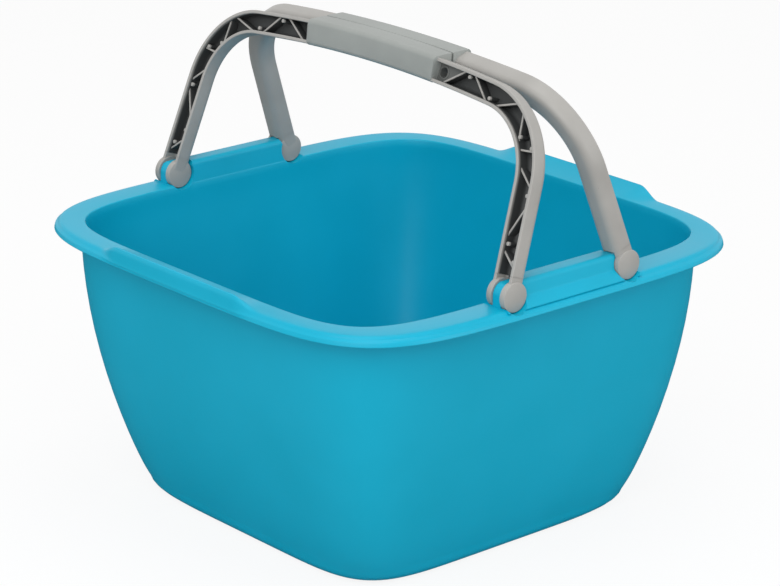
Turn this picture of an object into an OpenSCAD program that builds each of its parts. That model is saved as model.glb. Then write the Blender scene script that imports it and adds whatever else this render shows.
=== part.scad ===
// Square washing up bowl with two swing-over carrying handles.
// Frame: origin in the middle of the underside of the base, +Z up.
// X runs from one pair of handle pivots to the other, -Y is the front.

/* [Bowl] */
// Width of the mouth across the pivots, inner edge of the rim
mouth_x = 326; // [305:1:345]
// Width of the mouth across the other two sides
mouth_y = 333; // [310:1:350]
// Width of the rim on the pivot sides, from the mouth to the edge of the skirt
flange_x = 27; // [25.5:0.5:30]
// Width of the rim on the other two sides
flange_y = 20; // [18:0.5:24]
// Height of the flat top of the rim above the table
rim_z = 198; // [180:1:215]
// Width of the wall just above the rounded bottom edge
base_w = 261; // [220:1:275]
// Wall thickness of the bowl
wall = 2.5; // [2:0.1:4]
// Depth of the skirt below the flat top of the rim
skirt_h = 6.5; // [5:0.5:9]
// How far each wall bellies outward between base and rim
belly = 7; // [2:0.5:10]
// Height of the raised crest in the middle of the front and back rims
crest_h = 7.5; // [6:0.5:11]
// Half length of that crest, where its end ramps begin
crest_x = 62; // [45:1:66]

/* [Lugs] */
// Distance of each pivot axis from the middle plane
pivot_y = 51; // [46:1:56]
// Height of the pivot axes above the flat top of the rim
pivot_up = 7; // [6:0.5:8]
// Distance of the middle of each lug tongue outward from the wall of the bowl
lug_in = 9.5; // [9:0.25:10.25]
// Radius of the rounded lug end about the pivot
lug_r = 8.5; // [8:0.25:9]
// Thickness of the lug tongue between the two ears
tongue_t = 7.4; // [6.5:0.1:8]
// Radius of the bore in the tongue
bore_r = 3.6; // [3:0.1:4]

/* [Handles] */
// Height of the outer top edge of a handle above its pivot, in its own plane
arch_h = 134; // [124:1:142]
// Thickness of the outer ears, which sets how wide a handle is at its pivots
ear_t = 4.2; // [3.8:0.1:4.6]
// Inward lean of the legs, degrees
leg_lean = 4.5; // [3:0.5:6]
// Outer radius of the two upper corners
corner_r = 62; // [52:1:72]
// Radius of the slightly bowed top
top_r = 1300; // [900:50:2000]
// Width of the handle section, in the plane of the arch
bar_w = 16.5; // [15:0.5:17]
// Depth of the handle section, across the plane of the arch
bar_d = 13; // [11:0.5:14]
// Thickness of the section walls
skin = 2.4; // [1.8:0.1:2.8]
// Half length of the closed hand grip
grip_x = 65; // [55:1:70]
// Height of the hand grip
grip_h = 18; // [17:0.5:19]
// Depth of the hand grip from its mating face to its front
grip_d = 16; // [14:0.5:17]
// Radius of the ears at the foot of each leg
ear_r = 10; // [9:0.25:10.25]
// Thickness of the zigzag ribs
rib_t = 1.6; // [1.2:0.1:2.4]

/* [Fits] */
// Radial clearance between a stub pin and the lug bore
pin_fit = 0.06; // [0.03:0.01:0.1]
// Side clearance between an ear and the lug tongue
side_gap = 0.3; // [0.2:0.05:0.4]
// Clearance around the ears in their pockets
pocket_gap = 0.6; // [0.5:0.1:1]
// Gap from each grip face to the middle plane
mate_gap = 0.25; // [0.2:0.05:0.5]

/* [Hidden] */
$fn = 96;
eps = 0.01;

// Pivot height and the direction of a raised and of a lowered handle
pivot_z = rim_z + pivot_up;
half_d = bar_d / 2;
lean = asin((pivot_y - mate_gap) / norm([arch_h, half_d])) - atan(half_d / arch_h);
drop = 6.4;

// Overall width of the rim, to the outer edge of its skirt
rim_x = mouth_x + 2 * flange_x;
rim_y = mouth_y + 2 * flange_y;

// Rim outline numbers: exponents of the rounded squares
rim_n = 4.86;
flat_n = 5.3;
mouth_n = 6.2;
wall_n = 8;
base_fall = 2.6;

// Wall outline: half width of the outer wall surface at height z
wall_top = mouth_x / 2 + wall;
flange_z = rim_z - wall;
edge_r = 10;

// Middle of each lug tongue and outer half width of a handle at its pivots
lug_x = wall_top + lug_in;
arch_x = lug_x + tongue_t / 2 + side_gap + ear_t;

function tz(z) = (z - edge_r) / (flange_z - edge_r);
function edge_in(z) = z >= edge_r ? 0 : edge_r - sqrt(edge_r * edge_r - pow(edge_r - z, 2));
function wall_a(z) = base_w / 2 + (wall_top - base_w / 2) * max(tz(z), 0)
    + belly * 4 * max(tz(z), 0) * (1 - tz(z)) - edge_in(z);
function wall_b(z) = wall_a(z) + (mouth_y - mouth_x) / 2 * max(tz(z), 0);
function wall_e(z) = wall_n - (wall_n - mouth_n) * pow(max(tz(z), 0), 2) - base_fall * exp(-z / 9);

// Directions in which the outline is sampled, finer where the crest ramps
ramp_x = crest_x + 24;
a_crest = atan(2 * crest_x / rim_y);
a_ramp = atan(2 * ramp_x / rim_y);
flank = [0, a_crest / 3, a_crest * 2 / 3, a_crest, (a_crest + a_ramp) / 2, a_ramp,
    29.5, 33, 36, 39, 42];
corner = [45, 48, 51, 54, 57, 60.5, 65, 70, 75, 80, 85];
sector = concat(flank, corner);
last = len(sector) - 1;
dirs = concat(sector, [90], [for (i = [last:-1:1]) 180 - sector[i]], [180],
    [for (i = [1:last]) 180 + sector[i]], [270], [for (i = [last:-1:1]) 360 - sector[i]]);

// Share of the crest height in a direction, measured from the -Y or +Y axis
function off_axis(t) = abs(((t + 90) % 180) - 90);
function crest(t) = off_axis(t) <= a_crest + eps ? 1
    : off_axis(t) >= a_ramp - eps ? 0 : (a_ramp - off_axis(t)) / (a_ramp - a_crest);

// One ring: half widths a and b, exponent e, height z, rise and shift at the crest
function ring(a, b, e, z, lift = 0, shift = 0) = [for (t = dirs)
    let (u = crest(t), bb = b + shift * u,
         r = pow(pow(abs(sin(t)) / a, e) + pow(abs(cos(t)) / bb, e), -1 / e))
    [r * sin(t), -r * cos(t), z + lift * u]];

wall_zs = [16, 28, 44, 64, 86, 110, 134, 158, 180];
edge_zs = [0, 0.8, 3, 6];
in_edge_zs = [0, 1.2, 4];
skirt_t = 2.2;
rim_a = rim_x / 2;
rim_b = rim_y / 2;
floor_t = 3;

function outer_ring(z) = ring(wall_a(z), wall_b(z), wall_e(z), z);
function inner_ring(z) = ring(wall_a(z) - wall, wall_b(z) - wall, wall_e(z), z);
function floor_ring(h) = ring(wall_a(h * 0.9) - wall, wall_b(h * 0.9) - wall, wall_e(h), h + floor_t);

rings = concat(
    [for (h = in_edge_zs) floor_ring(h)],
    [for (z = wall_zs) inner_ring(z)],
    [ring(mouth_x / 2 - 0.4, mouth_y / 2 - 0.4, mouth_n, rim_z - 4),
     ring(mouth_x / 2, mouth_y / 2, mouth_n, rim_z - 0.8),
     ring(mouth_x / 2 + 0.9, mouth_y / 2 + 0.9, mouth_n, rim_z),
     ring(rim_a - 7.5, rim_b - 6, flat_n, rim_z, crest_h - 0.6, 3.2),
     ring(rim_a - 5.4, rim_b - 4.2, flat_n - 0.1, rim_z - 0.6, crest_h - 1.4, 3),
     ring(rim_a - 4.2, rim_b - 3, 5.1, rim_z - 1.9, crest_h - 7, 2.6),
     ring(rim_a - 1.4, rim_b - 1, 4.95, rim_z - 3.4, crest_h - 8.6, 1.1),
     ring(rim_a, rim_b, rim_n, rim_z - skirt_h),
     ring(rim_a - skirt_t, rim_b - skirt_t, rim_n, rim_z - skirt_h),
     ring(rim_a - 3.6, rim_b - 3.2, 4.95, rim_z - 4.6, crest_h - 8.6, 1.1),
     ring(rim_a - 6.6, rim_b - 5.4, 5.1, rim_z - 3.1, crest_h - 6.4, 2.6),
     ring(rim_a - 8.4, rim_b - 7.8, flat_n, rim_z - wall, crest_h - 1.6, 3),
     ring(wall_top + 0.4, mouth_y / 2 + wall + 0.4, mouth_n, flange_z),
     ring(wall_top, mouth_y / 2 + wall, mouth_n, flange_z - 3)],
    [for (i = [len(wall_zs) - 1:-1:0]) outer_ring(wall_zs[i])],
    [outer_ring(edge_r)],
    [for (i = [len(edge_zs) - 1:-1:0]) outer_ring(edge_zs[i])]);

// Closed skin through the rings, floor and underside each one flat face
module shell() {
    n = len(dirs);
    m = len(rings);
    pts = concat([for (r = rings) for (p = r) p], [[0, 0, floor_t], [0, 0, 0]]);
    walls = [for (j = [0:m - 2]) for (i = [0:n - 1]) let (k = (i + 1) % n)
        each [[j * n + i, j * n + k, (j + 1) * n + k], [j * n + i, (j + 1) * n + k, (j + 1) * n + i]]];
    caps = [for (i = [0:n - 1]) let (k = (i + 1) % n)
        each [[k, i, m * n], [(m - 1) * n + i, (m - 1) * n + k, m * n + 1]]];
    polyhedron(pts, concat(walls, caps), convexity = 12);
}

// Raised roll that carries two pivots: its section across the rim, on the +X side
roll_z = pivot_z + lug_r - 0.2;
roll_r = 3.6;
roll_draft = 1.9;
top_out = 3.6;
foot_out = 5.6;
foot_up = 5;
base_z = rim_z - skirt_h + 0.5;
lug_end = pivot_y + lug_r;
roll_in = mouth_x / 2 + 0.1;
roll_out = rim_a - 2.6;
root_z = rim_z - 1.6;
module roll_section() {
    polygon(concat([[roll_in, root_z]],
        [for (k = [0:arc_steps]) arc_point([roll_in + roll_draft, roll_z], [roll_in, root_z], [lug_x, roll_z],
            roll_r, k / arc_steps)],
        [for (k = [0:arc_steps]) arc_point([lug_x + top_out, roll_z], [lug_x, roll_z],
            [lug_x + foot_out, rim_z + foot_up], roll_r, k / arc_steps)],
        [[lug_x + foot_out, rim_z + foot_up], [roll_out - 0.6, rim_z - 1], [roll_out - 0.6, root_z]]));
}

// Solid roll, rounded about the pivots at both ends, on a pad under the rim
module roll() {
    intersection() {
        translate([0, lug_end, 0]) rotate([90, 0, 0]) linear_extrude(2 * lug_end) roll_section();
        translate([roll_in - 1, 0, 0]) rotate([90, 0, 90]) linear_extrude(rim_a - roll_in) union() {
            translate([-pivot_y, root_z - 1]) square([2 * pivot_y, roll_z + 2 - root_z]);
            translate([-lug_end, root_z - 1]) square([2 * lug_end, pivot_z + 1 - root_z]);
            for (s = [-1, 1]) translate([s * pivot_y, pivot_z]) circle(lug_r);
        }
    }
    pad_y = pivot_y + ear_r + pocket_gap + wall;
    translate([roll_in + 0.8, -pad_y, base_z])
        cube([roll_out - 1.8 - roll_in, 2 * pad_y, rim_z - 0.7 - base_z]);
}

// Room an ear and its leg sweep through, seen along X with the pivot at the origin
module sweep_2d() {
    h = half_d + pocket_gap;
    far = 3 * ear_r;
    up = [-sin(lean), cos(lean)];
    down = [cos(drop), sin(drop)];
    a0 = h * [-cos(lean), -sin(lean)];
    b0 = h * [sin(drop), -cos(drop)];
    circle(ear_r + pocket_gap);
    polygon([[0, 0], a0, a0 + far * up, [far, 2 * far], b0 + far * down, b0]);
}

// The two pockets beside the tongue of one lug and the bore through it
module pivot_cut() {
    tongue_in = lug_x - tongue_t / 2;
    tongue_out = lug_x + tongue_t / 2;
    reach = 20;
    translate([tongue_in - reach, pivot_y, pivot_z]) rotate([90, 0, 90])
        linear_extrude(reach) sweep_2d();
    translate([tongue_out, pivot_y, pivot_z]) rotate([90, 0, 90])
        linear_extrude(reach) sweep_2d();
    translate([lug_x - reach / 2, pivot_y, pivot_z]) rotate([0, 90, 0])
        cylinder(r = bore_r, h = reach);
}

// Hollows under the roll, open below, with cross ribs left between them
module roll_core() {
    core_w = 10;
    core_in = 7;
    core_end = pivot_y - ear_r - 5;
    bays = 4;
    bay = 2 * core_end / bays;
    for (i = [0:bays - 1])
        translate([lug_x - core_in, -core_end + i * bay + 1, base_z - 2])
            cube([core_w, bay - 2, roll_z - wall - base_z + 2 - wall]);
}

module four_pivots() {
    for (a = [0, 180]) rotate([0, 0, a]) {
        children();
        mirror([0, 1, 0]) children();
    }
}

module bowl() {
    color("#0096B8") difference() {
        union() {
            shell();
            for (a = [0, 180]) rotate([0, 0, a]) roll();
        }
        four_pivots() pivot_cut();
        for (a = [0, 180]) rotate([0, 0, a]) roll_core();
    }
}

// Convex outline with a round of its own at each corner
arc_steps = 5;
function unit(v) = v / norm(v);
function half_angle(p, a, b) = acos(unit(a - p) * unit(b - p)) / 2;
function arc_point(p, a, b, r, f) = let (h = half_angle(p, a, b), turn = 180 - 2 * h,
    c = p + unit(unit(a - p) + unit(b - p)) * r / sin(h),
    ca = p + r / tan(h) * unit(a - p) - c,
    cb = p + r / tan(h) * unit(b - p) - c)
    c + (sin((1 - f) * turn) * ca + sin(f * turn) * cb) / sin(turn);
module rounded(pts, rs) {
    n = len(pts);
    polygon([for (i = [0:n - 1]) for (k = [0:arc_steps])
        arc_point(pts[i], pts[(i + n - 1) % n], pts[(i + 1) % n], rs[i], k / arc_steps)]);
}

// Centre line of the arch in its own plane: leg line, corner arc, bowed top
top_c = arch_h - top_r;
leg_0 = [arch_x - corner_r * cos(leg_lean), -corner_r * sin(leg_lean) - top_c];
leg_dir = [-sin(leg_lean), cos(leg_lean)];
leg_len = -(leg_0 * leg_dir)
    + sqrt(pow(leg_0 * leg_dir, 2) - leg_0 * leg_0 + pow(top_r - corner_r, 2));
corner_c = [leg_0[0] + leg_len * leg_dir[0], leg_0[1] + leg_len * leg_dir[1] + top_c];
corner_a = atan(corner_c[0] / (corner_c[1] - top_c));
grip_a = asin(grip_x / top_r);
function on_top(u, q) = [u, top_c + sqrt(pow(top_r - q, 2) - u * u)];
function on_corner(t, q) = corner_c + (corner_r - q) * [cos(t), sin(t)];
function on_leg(s, q) = [arch_x, 0] + s * leg_dir - q * [cos(leg_lean), sin(leg_lean)];

// Channel section: x inward from the outer edge, y across, open towards +y
back_r = 5;
core_r = 2.8;
module channel_2d(d = 0) {
    lip = 0.6;
    t = skin - d;
    difference() {
        rounded([[d, half_d - d], [d, d - half_d], [bar_w - d, d - half_d], [bar_w - d, half_d - d]],
            [lip, back_r, back_r, lip]);
        rounded([[t, 2 * half_d], [t, t - half_d], [bar_w - t, t - half_d], [bar_w - t, 2 * half_d]],
            [lip, core_r, core_r, lip]);
    }
}

// The two flanges alone, which reach down beside the lug
module flanges_2d() {
    side = skin + 0.8;
    difference() {
        channel_2d(step);
        translate([side, -bar_d]) square([bar_w - 2 * side, 2 * bar_d]);
    }
}

// Lays a flat section on the leg line, starting a distance s above the pivot
module on_leg_line(s) {
    multmatrix([[-cos(leg_lean), 0, leg_dir[0], arch_x + s * leg_dir[0]],
        [-sin(leg_lean), 0, leg_dir[1], s * leg_dir[1]], [0, 1, 0, 0], [0, 0, 0, 1]]) children();
}

// One half of the arch, from the pivot on the +X side to the end of the grip
fork_s = ear_r + 2.5;
rib_s = [fork_s + 3, fork_s + 15.5, fork_s + 24.5];
// Lengths of the arch run a little into each other, the slimmer inside the fuller
lap = 0.3;
lap_a = lap / top_r * 180 / PI;
lap_c = lap / corner_r * 180 / PI;
step = 0.05;
module half_arch() {
    on_leg_line(fork_s) linear_extrude(leg_len - fork_s) channel_2d();
    on_leg_line(0) linear_extrude(fork_s + lap) flanges_2d();
    translate(corner_c) rotate([0, 0, leg_lean - lap_c])
        rotate_extrude(angle = 90 - corner_a - leg_lean + 2 * lap_c, $fn = 256)
            translate([corner_r, 0]) mirror([1, 0]) channel_2d(step);
    translate([0, top_c, 0]) rotate([0, 0, 90 - corner_a])
        rotate_extrude(angle = corner_a - grip_a + 4 * lap_a, $fn = 256)
            translate([top_r, 0]) mirror([1, 0]) channel_2d();
}

// Ears either side of the lug tongue, each with a stub pin moulded on
pin_r = bore_r - pin_fit;
module ears() {
    in_face = lug_x - tongue_t / 2 - side_gap;
    out_face = lug_x + tongue_t / 2 + side_gap;
    in_x = arch_x - bar_w - 0.2;
    translate([in_x, 0, 0]) rotate([0, 90, 0]) cylinder(r = ear_r, h = in_face - in_x);
    translate([out_face, 0, 0]) rotate([0, 90, 0]) cylinder(r = ear_r, h = arch_x + 0.2 - out_face);
    translate([in_face - 1, 0, 0]) rotate([0, 90, 0]) cylinder(r = pin_r, h = lug_x - 0.4 - in_face + 1);
    translate([lug_x + 0.4, 0, 0]) rotate([0, 90, 0]) cylinder(r = pin_r, h = out_face + 0.6 - lug_x);
}

// Zigzag ribs and small ejector bosses inside the channel
rib_low = skin - half_d - 0.4;
rib_top = half_d - 3;
in_q = bar_w - skin + 1.1;
out_q = skin - 1.1;
rib_ends = [[on_top(grip_x + 6.5, in_q), on_top(grip_x + 27, out_q)],
    [on_top(grip_x + 34, out_q), on_top(grip_x + 50, in_q)],
    [on_corner(80, in_q), on_corner(60, out_q)],
    [on_corner(55, out_q), on_corner(37, in_q)],
    [on_corner(31, in_q), on_corner(25, out_q)],
    [on_corner(17, in_q), on_leg(leg_len - 4, out_q)],
    [on_leg(leg_len - 10, out_q), on_leg(rib_s[2], in_q)],
    [on_leg(rib_s[1], in_q), on_leg(rib_s[0], out_q)]];
module rib(a, b) {
    d = b - a;
    translate([a[0], a[1], rib_low]) rotate([0, 0, atan2(d[1], d[0])]) translate([0, -rib_t / 2, 0])
        cube([norm(d), rib_t, rib_top - rib_low]);
}
module boss(p) {
    translate([p[0], p[1], rib_low]) cylinder(r = 1.7, h = rib_top + 1 - rib_low, $fn = 24);
}
module ribs() {
    for (e = rib_ends) rib(e[0], e[1]);
    boss_in = bar_w - skin - 2;
    boss_out = skin + 2;
    boss(on_top(grip_x + 31, boss_out));
    boss(on_corner(87, boss_in));
    boss(on_corner(40, boss_in));
    boss(on_corner(28, boss_out));
    boss(on_leg(leg_len - 7, boss_out));
    boss(on_leg((rib_s[1] + rib_s[2]) / 2, boss_in));
    boss(on_leg(fork_s + 9, boss_out));
}

// Hand grip: section seen along X with the handle raised, y across and z up
grip_top = pivot_z + arch_h * cos(lean) + half_d * sin(lean) + 1.2;
grip_low = grip_top - grip_h;
grip_slope = 2.6;
module grip_2d() {
    rounded([[-mate_gap, grip_top], [-grip_d, grip_top], [-grip_d - grip_slope, grip_low],
        [-mate_gap, grip_low]], [1.2, 3.4, 3, 1]);
}
module grip_core_2d() {
    rounded([[5, grip_top - skin], [skin - grip_d, grip_top - skin],
        [skin - grip_d - grip_slope, grip_low + skin], [5, grip_low + skin]], [0.5, 1.6, 1.4, 0.5]);
}
// Turns that section into the plane of the arch, about the centre of the bowed top
module to_arch() {
    translate([-top_c, 0]) rotate(lean - 90) translate([pivot_y, -pivot_z]) children();
}
module grip() {
    bays = 8;
    wall_a = asin(skin / top_r);
    bay_a = (2 * grip_a - wall_a) / bays;
    difference() {
        translate([0, top_c, 0]) rotate([0, 0, 90 - grip_a])
            rotate_extrude(angle = 2 * grip_a, $fn = 256) to_arch() grip_2d();
        for (i = [0:bays - 1]) translate([0, top_c, 0])
            rotate([0, 0, 90 - grip_a + wall_a + i * bay_a])
                rotate_extrude(angle = bay_a - wall_a, $fn = 256) to_arch() grip_core_2d();
    }
}

// Plate beside the grip with a round socket for the stud of the other handle
hole_x = grip_x + 4.6;
hole_r = 3.5;
hole_c = on_top(hole_x, bar_w / 2);
plate_top = 1.6;
module plate() {
    translate([0, 0, plate_top - skin]) linear_extrude(skin)
        polygon([on_top(grip_x - 1, bar_w - 1), on_top(grip_x + 6, bar_w - 1),
            on_top(grip_x + 27, 1.2), on_top(grip_x - 1, 1.2)]);
    translate([hole_c[0], hole_c[1], rib_low]) cylinder(r = hole_r + 1.5, h = plate_top - rib_low);
}
module socket_cut() {
    translate([hole_c[0], hole_c[1], -half_d - 8]) cylinder(r = hole_r, h = half_d + 12);
}

// Short stud that enters the other handle's socket when both are raised
stud_r = 2.5;
stud_z = pivot_z + hole_c[1] * cos(lean) - (half_d - 1) * sin(lean);
stud_y = pivot_y - hole_c[1] * sin(lean) - half_d * cos(lean);
module stud() {
    translate([-hole_x, 0, stud_z]) rotate([-90, 0, 0]) {
        translate([0, 0, -stud_y - 1.6]) cylinder(r = stud_r, h = stud_y + 1.6 + stud_y - 1);
        translate([0, 0, stud_y - 1]) cylinder(r1 = stud_r, r2 = 1.5, h = 2.4);
    }
}

// Places the arch on its pivots, leaning inward until the grips meet
module raised() {
    translate([0, -pivot_y, pivot_z]) rotate([90 - lean, 0, 0]) children();
}

module handle() {
    raised() difference() {
        union() {
            for (s = [0, 1]) mirror([s, 0, 0]) {
                half_arch();
                ears();
                ribs();
            }
            grip();
            plate();
        }
        socket_cut();
    }
    stud();
}

module front_handle() {
    color("#A8A7A3") handle();
}

module rear_handle() {
    color("#A8A7A3") rotate([0, 0, 180]) handle();
}

bowl();
front_handle();
rear_handle();
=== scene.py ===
import math
import bpy
import bmesh
from mathutils import Matrix, Vector


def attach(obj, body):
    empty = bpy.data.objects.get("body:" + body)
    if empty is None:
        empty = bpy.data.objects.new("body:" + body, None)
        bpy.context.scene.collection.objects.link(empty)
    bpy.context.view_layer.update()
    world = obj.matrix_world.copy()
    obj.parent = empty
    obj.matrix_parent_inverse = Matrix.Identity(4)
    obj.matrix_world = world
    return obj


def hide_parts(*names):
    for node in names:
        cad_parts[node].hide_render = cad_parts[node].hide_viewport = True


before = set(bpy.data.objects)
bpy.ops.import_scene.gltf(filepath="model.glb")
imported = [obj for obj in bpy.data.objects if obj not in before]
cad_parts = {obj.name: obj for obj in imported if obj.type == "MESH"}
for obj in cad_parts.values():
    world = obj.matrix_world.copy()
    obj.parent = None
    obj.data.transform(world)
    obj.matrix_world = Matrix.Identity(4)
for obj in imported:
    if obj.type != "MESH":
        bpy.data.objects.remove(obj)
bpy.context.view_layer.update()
print("stage: frame loaded")

mm = 0.001


def srgb(code):
    # linear colour of a #rrggbb code
    def linear(v):
        return v / 12.92 if v <= 0.04045 else ((v + 0.055) / 1.055) ** 2.4
    return tuple(linear(int(code[i:i + 2], 16) / 255) for i in (1, 3, 5)) + (1.0,)


def addNode(tree, kind, inputs=None, **settings):
    # one shader or geometry node, with its settings and its input values or links
    made = tree.nodes.new(kind)
    for key, value in settings.items():
        setattr(made, key, value)
    for key, value in (inputs or {}).items():
        if isinstance(value, bpy.types.NodeSocket):
            tree.links.new(value, made.inputs[key])
        else:
            made.inputs[key].default_value = value
    return made


def ramp(tree, factor, stops):
    # colour band with a stop at each place
    made = addNode(tree, "ShaderNodeValToRGB", {"Fac": factor})
    band = made.color_ramp
    for spot, (place, colour) in enumerate(stops):
        stop = band.elements[spot] if spot < 2 else band.elements.new(place)
        stop.position = place
        stop.color = colour
    return made.outputs["Color"]


def grey(v):
    return (v, v, v, 1.0)


# The bowl: the same outline formulas as the solid model, sampled more finely
bowlShape = {
    "rimX": 380.0, "rimY": 373.0, "rimZ": 198.0, "mouthX": 326.0, "mouthY": 333.0, "baseW": 261.0,
    "wall": 2.5, "skirt": 6.5, "belly": 7.0, "crest": 7.5, "crestX": 62.0, "ramp": 24.0,
    "rimN": 4.86, "flatN": 5.3, "mouthN": 6.2, "wallN": 8.0, "baseFall": 2.6, "edge": 10.0,
    "floor": 3.0, "pivotY": 51.0, "pivotUp": 7.0, "lugX": 175.0, "lugR": 8.5, "tongue": 7.4,
    "boreR": 3.6, "earR": 10.0, "pocketGap": 0.6, "padIn": 0.9, "padOut": 6.0, "padTop": 0.7,
}

# The handles: sizes of the solid ones, apart from ribSeen, bossR and mateSeen, which are smaller here
handleShape = {
    "archH": 134.0, "archX": 183.2, "legLean": math.radians(4.5), "cornerR": 62.0, "topR": 1300.0,
    "barW": 16.5, "barD": 13.0, "skin": 2.4, "gripX": 65.0, "gripH": 18.0, "gripD": 16.0,
    "gripSlope": 2.6, "gripCrown": 1.15, "earR": 10.0, "ribSeen": 1.3, "bossR": 1.35, "pinFit": 0.06,
    "sideGap": 0.3, "mateGap": 0.25, "mateSeen": 0.1, "backR": 5.0, "coreR": 2.8,
    "holeR": 3.5, "holeOut": 4.6, "drop": math.radians(6.4),
}
flangeZ = bowlShape["rimZ"] - bowlShape["wall"]
wallTop = bowlShape["mouthX"] / 2 + bowlShape["wall"]
pivotZ = bowlShape["rimZ"] + bowlShape["pivotUp"]
halfD = handleShape["barD"] / 2
leanAngle = (math.asin((bowlShape["pivotY"] - handleShape["mateGap"])
                       / math.hypot(handleShape["archH"], halfD))
             - math.atan(halfD / handleShape["archH"]))


def paintedDepthShade(tree, place, tone, spec):
    # painted shade: colour darkened with depth below the open side of a handle, standing in for the shade
    # inside its channels and among its ribs;
    # depth is measured across the raised arch, the same for both handles
    parts = addNode(tree, "ShaderNodeSeparateXYZ", {0: place})
    side = addNode(tree, "ShaderNodeMath", {0: parts.outputs["Y"]}, operation="ABSOLUTE")
    across = addNode(tree, "ShaderNodeMath", {
        0: side.outputs[0], 1: math.cos(leanAngle), 2: -bowlShape["pivotY"] * mm * math.cos(leanAngle)},
        operation="MULTIPLY_ADD")
    depth = addNode(tree, "ShaderNodeMath", {
        0: parts.outputs["Z"], 1: math.sin(leanAngle), 2: -pivotZ * mm * math.sin(leanAngle)},
        operation="MULTIPLY_ADD")
    level = addNode(tree, "ShaderNodeMath", {0: across.outputs[0], 1: depth.outputs[0]}, operation="ADD")
    share = addNode(tree, "ShaderNodeMapRange", {
        "Value": level.outputs[0], "From Min": spec["deepFrom"] * mm, "From Max": spec["deepTo"] * mm},
        interpolation_type="SMOOTHSTEP")
    mixed = addNode(tree, "ShaderNodeMix", {
        "Factor": share.outputs["Result"], 6: tone, 7: srgb(spec["deep"])}, data_type="RGBA")
    return mixed.outputs[2]


# Polypropylene as it leaves the mould: colour that drifts a little with the melt's flow,
# a satin skin with a few faint scuffs, orange peel and the fine grain of the tool steel
def mouldedPlastic(name, spec):
    material = bpy.data.materials.new(name)
    material.use_nodes = True
    tree = material.node_tree
    tree.nodes.clear()
    place = addNode(tree, "ShaderNodeTexCoord").outputs["Object"]
    flow = addNode(tree, "ShaderNodeTexNoise", {
        "Vector": place, "Scale": 1 / (spec["flowSize"] * mm), "Detail": 3.0, "Roughness": 0.55})
    speck = addNode(tree, "ShaderNodeTexNoise", {
        "Vector": place, "Scale": 1 / (spec["grainSize"] * mm), "Detail": 2.0, "Roughness": 0.6})
    peel = addNode(tree, "ShaderNodeTexNoise", {
        "Vector": place, "Scale": 1 / (spec["peelSize"] * mm), "Detail": 2.0, "Roughness": 0.5})
    stretch = addNode(tree, "ShaderNodeMapping", {
        "Vector": place, "Scale": (1.0, 1.0, 0.12), "Rotation": (0.5, 0.35, 0.2)})
    scuff = addNode(tree, "ShaderNodeTexNoise", {
        "Vector": stretch.outputs["Vector"], "Scale": 1 / (2.2 * mm), "Detail": 4.0, "Roughness": 0.7})
    scuffs = ramp(tree, scuff.outputs["Fac"], [(0.60, grey(0.0)), (0.74, grey(1.0))])
    tone = ramp(tree, flow.outputs["Fac"], [(0.35, srgb(spec["dark"])), (0.65, srgb(spec["light"]))])
    # painted shade: a material given a deep colour darkens with depth into the handle's recesses
    if "deep" in spec:
        tone = paintedDepthShade(tree, place, tone, spec)
    gloss = addNode(tree, "ShaderNodeMapRange", {
        "Value": flow.outputs["Fac"], "From Min": 0.3, "From Max": 0.7,
        "To Min": spec["roughness"][0], "To Max": spec["roughness"][1]})
    worn = addNode(tree, "ShaderNodeMath", {0: scuffs, 1: spec["scuff"], 2: gloss.outputs["Result"]},
                   operation="MULTIPLY_ADD")
    orange = addNode(tree, "ShaderNodeBump", {
        "Height": peel.outputs["Fac"], "Strength": 1.0, "Distance": spec["peelDepth"] * mm})
    grain = addNode(tree, "ShaderNodeBump", {
        "Height": speck.outputs["Fac"], "Strength": 1.0, "Distance": spec["grainDepth"] * mm,
        "Normal": orange.outputs["Normal"]})
    shader = addNode(tree, "ShaderNodeBsdfPrincipled", {
        "Base Color": tone, "Roughness": worn.outputs[0], "Normal": grain.outputs["Normal"],
        "IOR": 1.49, "Specular IOR Level": spec["specular"]})
    addNode(tree, "ShaderNodeOutputMaterial", {"Surface": shader.outputs["BSDF"]})
    return material


bowlPlastic = {
    "light": "#00a8c8", "dark": "#00a5c4", "roughness": (0.36, 0.42), "specular": 0.3,
    "flowSize": 70.0, "grainSize": 0.45, "grainDepth": 0.012, "peelSize": 5.0, "peelDepth": 0.03,
    "scuff": 0.015,
}
handlePlastic = {
    "light": "#a6a4a0", "dark": "#9e9c98", "roughness": (0.36, 0.44), "specular": 0.4,
    "flowSize": 40.0, "grainSize": 0.35, "grainDepth": 0.02, "peelSize": 3.0, "peelDepth": 0.03,
    "scuff": 0.05,
}
# The same grey from other parts of the tool: blasted grip; core side and ribs, rougher and with painted
# shade that darkens to the deep colour between deepFrom and deepTo millimetres; plate and bore darkened as
# painted shade
gripPlastic = dict(handlePlastic, light="#979b98", dark="#909491", roughness=(0.42, 0.5), grainDepth=0.035)
coreShadedPlastic = dict(handlePlastic, deep="#3c3e3e", deepFrom=6.3, deepTo=3.6, roughness=(0.5, 0.6))
ribShadedPlastic = dict(handlePlastic, deep="#3c3e3e", deepFrom=3.45, deepTo=2.4, roughness=(0.5, 0.6))
# painted shade: the plate sunk below the channel's open side is a darker grey for its shade
plateShadePlastic = dict(handlePlastic, light="#626462", dark="#5c5e5c", roughness=(0.5, 0.6))
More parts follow.
